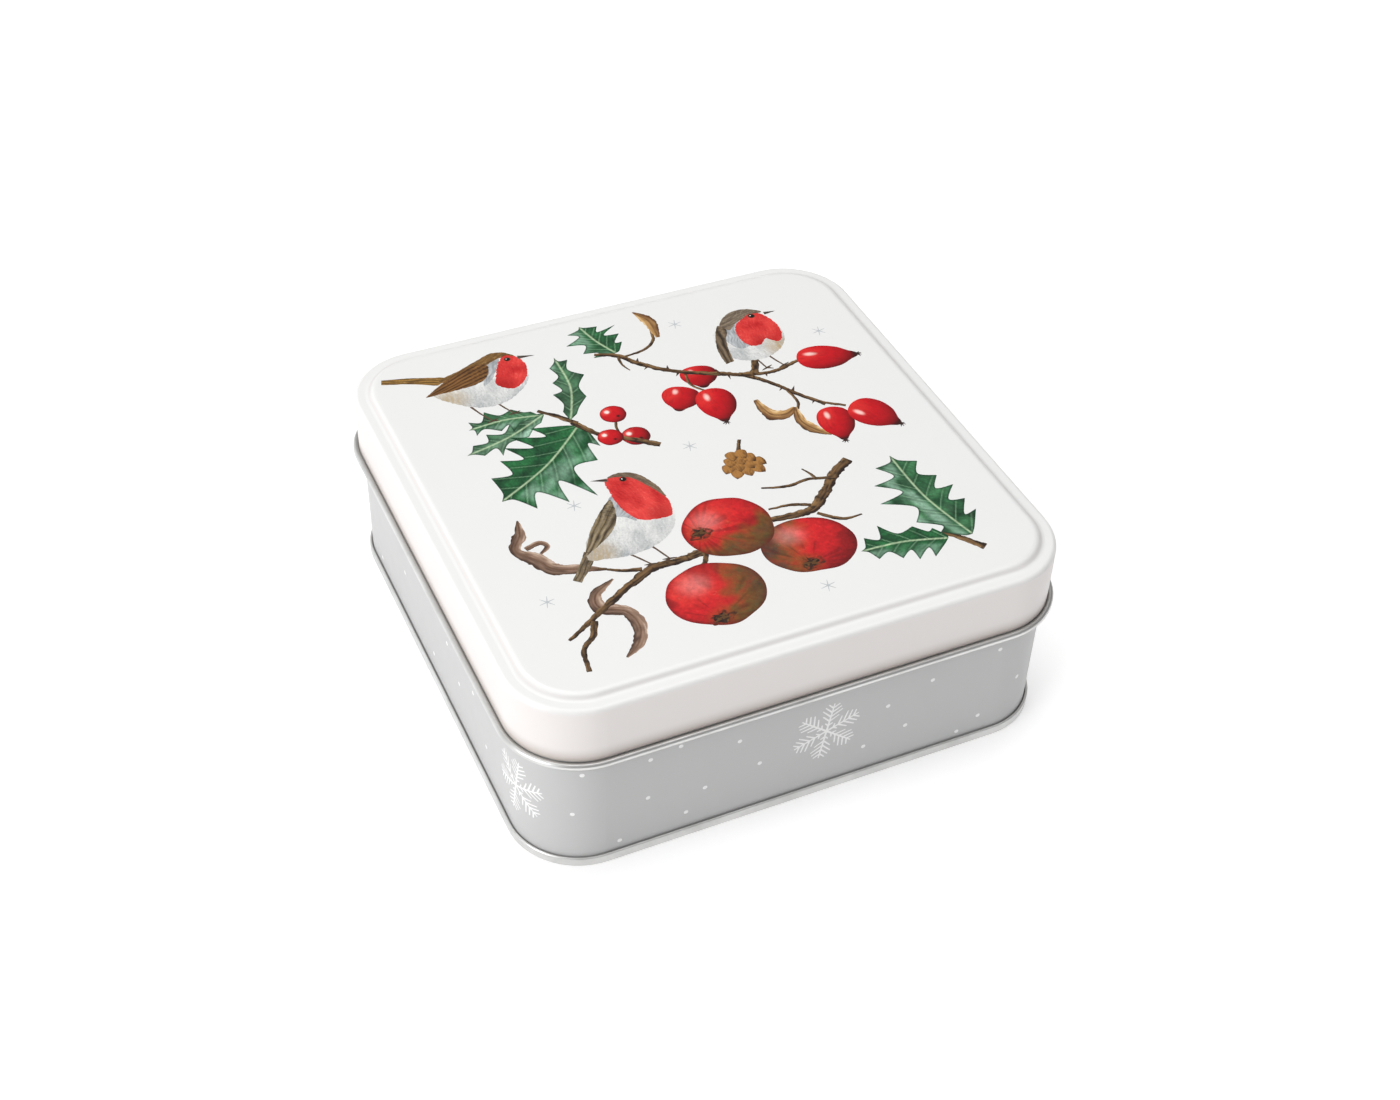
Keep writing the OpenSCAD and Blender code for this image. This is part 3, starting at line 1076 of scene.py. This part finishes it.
def round_bird():
    """Plump three-quarter view, looking right."""
    body = [
        (28.5, 36), (26.8, 43), (29, 50), (33.5, 55), (40, 56), (45, 53), (47.2, 47), (46.8, 40),
        (43, 35), (37, 32.5), (31.5, 33.5),
    ]
    breast = [
        (36, 49.8), (39, 52), (42, 53.4), (45, 52.5), (47, 48), (47.2, 43.5), (45.6, 39.2),
        (43.4, 38.6), (41.2, 40.8), (38.8, 38.8), (36, 39.2), (34.4, 42.3), (34.6, 46.5),
    ]
    cap = [
        (31.5, 51), (34, 54.5), (38, 56.5), (42.5, 56), (45.8, 53.5), (43, 52.8), (39.5, 52.3),
        (36, 50.5), (33.5, 48.5),
    ]
    border = [
        (31, 49), (34.5, 52), (38.8, 52.6), (37, 49.5), (35.6, 45.5), (36, 40), (32.2, 39.2),
        (30.2, 44.5),
    ]
    wing = [
        (31, 51.5), (28.3, 47), (26.2, 41), (25.6, 34), (25.6, 34), (28.2, 34.5), (28.2, 34.5),
        (29, 39), (30.5, 44.5), (32.5, 48.5),
    ]
    return [
        leg([(34.5, 33.5), (35, 30.5), (35.5, 28)]), *foot((35.5, 28.2), (20, -30, 200)),
        leg([(38.5, 33), (39.5, 30), (40.5, 27.5)]), *foot((40.5, 27.6), (20, -30, 200)),
        plumes(body, belly_paint(-75, (44, 36), 25), 6),
        plumes(border, down_paint(75, 28), 7),
        plumes(cap, plumage_paint(15, "50443a", "8a7a66", "a89a86", 31, 2.0, 0.3), 8, *SLEEK),
        plumes(wing, wing_paint((25.5, 22), "241b15", "74614b", "a08c70", 33, 5.0), 9, *SLEEK),
        plumes(breast, breast_paint(80, (40.6, 39.5), 37), 10, 0.22),
        beak((46.2, 52.3), (49.8, 52.2), 1.3), *eye((42.2, 52.4), 0.85),
    ]


def upright_bird():
    """Side view, looking left, tail down to the left."""
    body = [
        (-41, -27), (-38.5, -20), (-33, -13.5), (-27, -7.5), (-20, -5), (-14, -10), (-13.2, -17),
        (-16, -23.5), (-22, -28), (-30, -29.5), (-37, -28.5),
    ]
    breast = [
        (-25.5, -0.5), (-22, 1), (-18, -1), (-15.5, -6), (-13.2, -13), (-14.5, -19), (-18, -19.5),
        (-23.5, -17.5), (-26, -11), (-26, -5),
    ]
    back = [
        (-24.5, 0.5), (-20.5, 1.3), (-16.5, -1), (-13.8, -6.5), (-13.2, -12), (-15.5, -7),
        (-18.5, -2), (-21.5, -0.2),
    ]
    border = [(-26, -6.5), (-29.5, -10.5), (-32, -14.5), (-27, -15), (-24, -18), (-24.5, -12)]
    wing = [
        (-27, -8), (-31.5, -11.5), (-36.5, -17.5), (-41.5, -26), (-41.5, -26), (-37, -23.5),
        (-32, -20), (-28.5, -15.5),
    ]
    tail = brush_line([(-39.5, -25), (-43, -29.5), (-46.5, -33.5)], [3.2, 3.0, 2.2], rough=0.08)
    return [
        leg([(-31, -28.5), (-29, -31.5), (-27, -34.6)]), *foot((-27, -34.6), (170, 200, -10)),
        leg([(-24.5, -28), (-23.3, -31), (-22, -34.4)]), *foot((-22, -34.4), (170, 200, -10)),
        (tail, plumage_paint(47, "3d342b", "8c7a5e", "b3a184", 41, 1.1)),
        plumes(body, belly_paint(-110, (-38, -26), 45), 11),
        plumes(border, down_paint(50, 48), 12),
        plumes(wing, wing_paint((-51, -38), "3f3428", "93805f", "b8aa90", 51, 3.4), 13, *SLEEK),
        plumes(breast, breast_paint(100, (-17, -18), 57), 14, 0.22),
        plumes(back, plumage_paint(-60, "4c4036", "85705a", "a08a70", 53, 1.6, 0.35), 15, *SLEEK),
        beak((-24.8, -0.3), (-29, 1.0), 1.4), *eye((-20.8, -1.5), 0.8),
    ]


# ---------------------------------------------------------------- sprigs and fruit
CONE_X = 10.9


def holly_sprig():
    berries = [((-12.5, 25), 3.7), ((-17, 16), 3.5)]
    return [
        holly_leaf((-30, 32), (-55, 23), 8, 4, 0.05, 0.45, 21),
        holly_leaf((-31, 32), (-51, 33), 9, 4, -0.06, 0.2, 22),
        twig([(-31, 34), (-27, 30), (-23, 25)], [0.9, 1.6, 1.8], 1),
        holly_leaf((-24, 27), (-18, 55), 9, 4, -0.08, 0.25, 23),
        holly_leaf((-23, 24), (-53, 2), 25, 5, 0.05, 0.0, 24),
        berry((-10.5, 14), 3.9, 3, 0.25),
        twig([(-24, 26), (-20, 19), (-14, 14.5), (-6, 8)], [1.9, 1.6, 1.8, 2.0], 2),
        twig([(-14, 15), (-14, 19), (-13, 22)], [0.8, 0.7, 0.7], 3, 0.1),
        *[berry(*b, seed=60 + i) for i, b in enumerate(berries)],
    ]


def thorny_spray():
    return [
        twig([(1, 48), (7, 49), (11, 52), (12.5, 57)], [0.8, 0.9, 1.0, 0.8], 5, 0.2),
        dry_leaf([(13, 53), (13.6, 58), (13.5, 62), (11, 67)], [1.2, 3.4, 3.8, 0.4], 6, 0.05),
        hip((17, 36.5), (15.5, 26.5), 10.4, 7, 0.18, sepals=False)[0],
        twig([(-7, 52), (-1, 49), (3, 43.5), (10, 37), (18, 32.5), (27, 28), (33, 22), (38, 14), (43, 7)],
             [1.2, 1.8, 1.7, 1.6, 1.9, 1.6, 1.4, 1.3, 1.0], 8),
        twig([(-1, 49), (-1.5, 45), (-0.5, 41.5)], [1.0, 0.7, 0.3], 9),
        twig([(27, 28.5), (31, 27.5), (34, 33)], [1.5, 2.4, 1.8], 10),
        twig([(30, 27), (37, 26), (45, 28)], [1.5, 1.3, 1.1], 11, 0.1),
        twig([(38, 14), (43, 8), (48, 4.5)], [1.2, 1.1, 0.9], 12, 0.1),
        twig([(13, 34), (12.5, 29), (15, 25)], [0.9, 0.8, 0.8], 13, 0.15),
        twig([(36, 17), (36.5, 11), (35, 8)], [0.9, 0.8, 0.9], 14, 0.1),
        *[thorn(at, way, length) for at, way, length in (
            ((5, 41.5), 200, 2.2), ((9.5, 38), 60, 1.9), ((11.5, 35.5), 215, 1.8), ((22, 31), 80, 2.1),
            ((24, 29.5), 250, 2.4), ((30, 25), 60, 1.8), ((35.5, 18.5), 205, 2.0), ((37.5, 16), 40, 2.2),
            ((41, 10), 215, 1.8), ((3, 44.5), 50, 1.8), ((41, 26.5), 75, 1.4), ((34, 26), 245, 1.6))],
        dry_leaf([(26, 16), (26.3, 12), (27.5, 8.2), (31, 7.2), (34.5, 9)], [1.2, 2.8, 4.4, 3.8, 0.8], 15),
        dry_leaf([(34.8, 9), (33.5, 3), (35.5, -2), (38.5, -5.5)], [0.8, 3.0, 3.6, 0.6], 16, 0.0),
        *hip((10, 29), (4.5, 19.5), 10.5, 17, 0.05, sepals=False),
        *hip((16.5, 25.5), (14.5, 10.5), 10.8, 18),
        *hip((45, 28.5), (62, 24.5), 10.6, 19),
        *hip((43.5, 5.5), (40.8, -8.8), 10.0, 20),
        *hip((49.5, 4.5), (58, -8.3), 11.2, 21),
    ]


def cone_scale(root, seed):
    """One scale of a cone that hangs down, leaning away from the cone's middle."""
    lean = (root[0] - CONE_X) * 0.16
    reach = np.array([math.sin(lean), -math.cos(lean)]) * 2.6
    side = left_of(reach) * 0.68
    root = np.array(root)
    tip = root + reach
    shape = [
        root - reach * 0.6, root + side - reach * 0.2, root + side * 0.75 + reach * 0.5,
        tip, tip, root - side * 0.75 + reach * 0.5, root - side - reach * 0.2,
    ]

    def paint(points):
        at, lit = ball(points, root + [0, -0.3], (2.4, 2.6))
        fibre = streaks(points, 80, 1.4, 0.3, seed)
        colour = blend("3d2412", "a9773d", rise(-0.4, 0.95, lit) + 0.9 * (fibre - 0.5))
        return blend(colour, "1f120a", rise(0.62, 0.92, np.hypot(*at.T)) * 0.8)

    return curve(shape, closed=True, step=0.35), paint


def husk():
    """A small open cone, its scales in rows, the upper rows on top."""
    layers = [twig([(11.5, -4), (12.8, -1), (14.4, 2)], [1.6, 1.2, 1.0], 24)]
    rows = [
        (-10.6, (8.0, 11.0, 13.9)), (-8.0, (6.6, 9.6, 12.4, 15.2)),
        (-5.6, (8.2, 11.0, 13.6)), (-3.4, (9.6, 12.2)),
    ]
    for row, (y, places) in enumerate(rows):
        layers += [cone_scale((x, y), row * 7 + k) for k, x in enumerate(places)]
    return layers


def apple_branch():
    return [
        dry_leaf([(-52, -6.5), (-53.5, -12), (-56.5, -17), (-53, -22), (-50, -27), (-44, -29.5),
                  (-38, -32)],
                 [0.4, 3.6, 2.6, 5.0, 4.2, 2.6, 0.8], 30, 0.1, WITHERED),
        dry_leaf([(-54, -17.5), (-50, -16.5), (-48.5, -18.5), (-51, -20.5)],
                 [1.6, 1.8, 1.4, 0.8], 31, 0.0, WITHERED),
        dry_leaf([(-38, -36), (-44, -39.5), (-45, -44), (-39.5, -48), (-38.5, -54), (-41, -59),
                  (-45.5, -62.5)],
                 [0.6, 2.8, 4.2, 3.4, 3.8, 3.2, 0.5], 32, 0.05, WITHERED),
        twig([(-13, -35.5), (-20, -36), (-27, -36), (-33, -38.5), (-41, -43), (-50, -48.5), (-56, -52)],
             [2.8, 2.4, 2.6, 2.2, 1.9, 1.6, 0.9], 33),
        twig([(-30, -35.5), (-35, -33.8), (-40, -31)], [1.4, 1.1, 0.6], 34),
        twig([(-48, -48), (-50, -52.5), (-54, -56.5), (-55.5, -63.5)], [1.7, 1.6, 1.4, 1.2], 35),
        twig([(-13, -36), (-14, -38.5), (-15.5, -40)], [1.6, 1.4, 1.2], 36),
        twig([(8, -31), (15, -31.5), (20, -31), (26, -26), (31, -21), (37.5, -16.5)],
             [2.0, 2.4, 3.2, 2.8, 3.0, 2.6], 37),
        twig([(31, -22), (24, -20), (18, -20.5), (11, -18.6)], [1.5, 1.0, 1.1, 0.6], 38),
        twig([(26, -20.3), (25.5, -18), (24.3, -15.5)], [0.9, 0.8, 0.5], 39),
        twig([(20, -29.5), (15, -27.5), (9, -27)], [1.2, 1.0, 0.7], 40),
        twig([(20, -33), (25, -37.5), (30.5, -37.8)], [1.3, 1.2, 0.5], 41),
        *apple((12.5, -43), (12.4, 10.4), (10, -49.6), -8, 165, 42, 0.35),
        *apple((-3.3, -29), (12.0, 11.2), (-11.2, -28.6), 10, -70, 43),
        *apple((-16.6, -50.4), (12.6, 11.3), (-19, -59), 0, -20, 44),
    ]


def holly_pair():
    return [
        twig([(46, -52), (49.5, -55.5), (53.5, -61)], [1.4, 1.8, 2.2], 50, 0.1),
        holly_leaf((46.5, -54.5), (23.5, -50.5), 12.5, 4, -0.05, 0.0, 51),
        holly_leaf((53, -55.5), (48.5, -19.5), 17, 5, 0.05, 0.12, 52),
    ]


def print_lid():
    ink = ink_finish("lid_print")
    pieces = {
        "holly_sprig": holly_sprig(),
        "holly_top_leaf": [holly_leaf((-1, 50.5), (-6, 66), 14, 4, 0.04, 0.05, 55)],
        "thorny_spray": thorny_spray(),
        "husk": husk(),
        "apple_branch": apple_branch(),
        "holly_pair": holly_pair(),
        "perched_bird": perched_bird(),
        "round_bird": round_bird(),
        "upright_bird": upright_bird(),
    }
    stars = [(20, 57), (57, 38.5), (1, 4.5), (-36.5, -6.5), (-56, -37.5), (10, -58.5)]
    pieces["star_marks"] = [layer for at in stars for layer in star_mark(at)]
    raised = {"perched_bird": 1, "thorny_spray": 1, "round_bird": 2, "upright_bird": 1}
    for name, layers in pieces.items():
        spacing = 0.62 * GRAIN if name.endswith("bird") else GRAIN
        film("print_" + name, layers, "lid", ink, level=raised.get(name, 0), spacing=spacing)


# ---------------------------------------------------------------- snow round the body
SNOW = "f0f0f0"
FLAKE_ARM = 9.5
FLAKE_TURN = 20
DOT_R = 0.62
# No dot's middle comes closer than this to the middle of a snowflake
FLAKE_CLEAR = 11
# Each pair of side twigs: its root and its reach, as shares of the arm
SIDE_TWIGS = ((0.20, 0.16), (0.36, 0.34), (0.52, 0.42), (0.68, 0.34), (0.84, 0.24))


def snowflake(centre):
    """Six arms, each with five pairs of side twigs."""
    white = flat_colour(SNOW)
    centre = np.array(centre, float)
    layers = []
    for arm in range(6):
        ahead = heading(60 * arm + FLAKE_TURN)
        side = left_of(ahead)
        line = [centre, centre + ahead * FLAKE_ARM / 2, centre + ahead * FLAKE_ARM]
        layers.append((brush_line(line, [0.6, 0.5, 0.35]), white))
        for at, reach in SIDE_TWIGS:
            root = centre + ahead * FLAKE_ARM * at
            for hand in (1, -1):
                end = root + (ahead * 0.80 + side * hand) * FLAKE_ARM * reach * 0.72
                layers.append((brush_line([root, (root + end) / 2, end], [0.5, 0.45, 0.35]), white))
    return layers


def print_body():
    ink = ink_finish("body_print")
    side_run = 2 * CORNER_AT + (BODY_HALF - CORNER_AT) * math.pi / 2
    flakes = [(4.5, 21.5), (-80.5, 20.5), (97.5, 21), (181, 20.5), (-217, 21.5), (-301, 20.5)]
    for number, at in enumerate(flakes):
        film(f"snowflake_{number}", snowflake(at), "tin", ink, on_body, spacing=1.0)
    spots = [
        (-61.5, 32.5), (-64, 18.5), (-52, 5.5), (-44, 31.5), (-44.5, 18), (-36, 33), (-34, 8),
        (-29, 15), (-14, 17.5), (16, 11), (22, 23.5), (28, 14), (34.5, 28), (44.5, 4.8),
        (50.5, 8.5), (54, 31.5), (62, 17.5), (-20, 28),
    ]
    left_spots = [(-48.5, 6), (-25.5, 19.5), (-3, 9), (10, 24.5), (18.5, 17.5), (30, 25), (38.5, 13.5)]
    layers = []
    for side, side_spots in enumerate((spots, spots, spots, left_spots)):
        for run, height in side_spots:
            at = (run + side * side_run, height)
            gaps = [math.hypot(math.remainder(at[0] - x, 4 * side_run), height - y) for x, y in flakes]
            if min(gaps) > FLAKE_CLEAR:
                layers.append((oval(at, (DOT_R, DOT_R), count=18), flat_colour(SNOW)))
    film("snow_dots", layers, "tin", ink, on_body, spacing=1.0)


# ---------------------------------------------------------------- stage
# The sky's brightness at the horizon, a little above it and overhead
HORIZON_GLOW = 0.45
LOW_GLOW = 0.12
ZENITH_GLOW = 0.66
LOW_SKY = 0.35
FLOOR_HALF = 6.0
FLOOR_GREY = 0.80
FLOOR_GLOW = 0.34
TIN_MIDDLE = (0, 0, 0.03)


def make_floor():
    mesh = bpy.data.meshes.new("floor")
    corners = [(x * FLOOR_HALF, y * FLOOR_HALF, 0) for x, y in ((-1, -1), (1, -1), (1, 1), (-1, 1))]
    mesh.from_pydata(corners, [], [(0, 1, 2, 3)])
    floor = bpy.data.objects.new("floor", mesh)
    bpy.context.scene.collection.objects.link(floor)
    nodes = Nodes("floor_white")
    nodes.set(Base_Color=(FLOOR_GREY, FLOOR_GREY, FLOOR_GREY, 1), Roughness=0.9)
    nodes.set(Emission_Color=(1, 1, 1, 1), Emission_Strength=FLOOR_GLOW)
    floor.data.materials.append(nodes.material)


def area_light(name, place, size, power):
    """A white rectangle of light that faces the tin."""
    data = bpy.data.lights.new(name, "AREA")
    data.shape = "RECTANGLE"
    data.size, data.size_y = size
    data.energy = power
    light = bpy.data.objects.new(name, data)
    bpy.context.scene.collection.objects.link(light)
    light.location = place
    light.rotation_euler = (Vector(TIN_MIDDLE) - Vector(place)).to_track_quat("-Z", "Y").to_euler()
    return light


def make_lights():
    world = bpy.data.worlds.new("studio")
    bpy.context.scene.world = world
    world.use_nodes = True
    tree = world.node_tree
    direction = tree.nodes.new("ShaderNodeTexCoord").outputs["Generated"]
    height = tree.nodes.new("ShaderNodeSeparateXYZ")
    tree.links.new(direction, height.inputs["Vector"])
    glows = []
    bands = ((0.0, LOW_SKY, HORIZON_GLOW - LOW_GLOW, 0.0), (LOW_SKY, 1.0, LOW_GLOW, ZENITH_GLOW))
    for low, high, at_low, at_high in bands:
        glow = tree.nodes.new("ShaderNodeMapRange")
        tree.links.new(height.outputs["Z"], glow.inputs["Value"])
        glow.inputs["From Min"].default_value = low
        glow.inputs["From Max"].default_value = high
        glow.inputs["To Min"].default_value = at_low
        glow.inputs["To Max"].default_value = at_high
        glows.append(glow.outputs["Result"])
    total = tree.nodes.new("ShaderNodeMath")
    tree.links.new(glows[0], total.inputs[0])
    tree.links.new(glows[1], total.inputs[1])
    tree.links.new(total.outputs["Value"], tree.nodes["Background"].inputs["Strength"])
    tree.nodes["Background"].inputs["Color"].default_value = (1, 1, 1, 1)
    area_light("key_left", (-1.58, -0.40, 0.87), (1.1, 1.1), 19.5)
    area_light("top", (0.1, 0.3, 1.6), (1.4, 1.4), 15.5)
    # A white card for the metal of the curl and seam to reflect on the left.
    card = area_light("card_left", (-1.1, 1.3, 0.75), (1.7, 1.3), 7.0)
    card.visible_diffuse = False
    bpy.context.scene.view_settings.view_transform = "Standard"


make_camera()
make_floor()
make_lights()
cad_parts["lid_shell"].material_slots[0].material = lid_finish()
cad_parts["body_wall"].material_slots[0].material = body_finish()
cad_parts["bottom_panel"].material_slots[0].material = base_finish()
print_lid()
print_body()
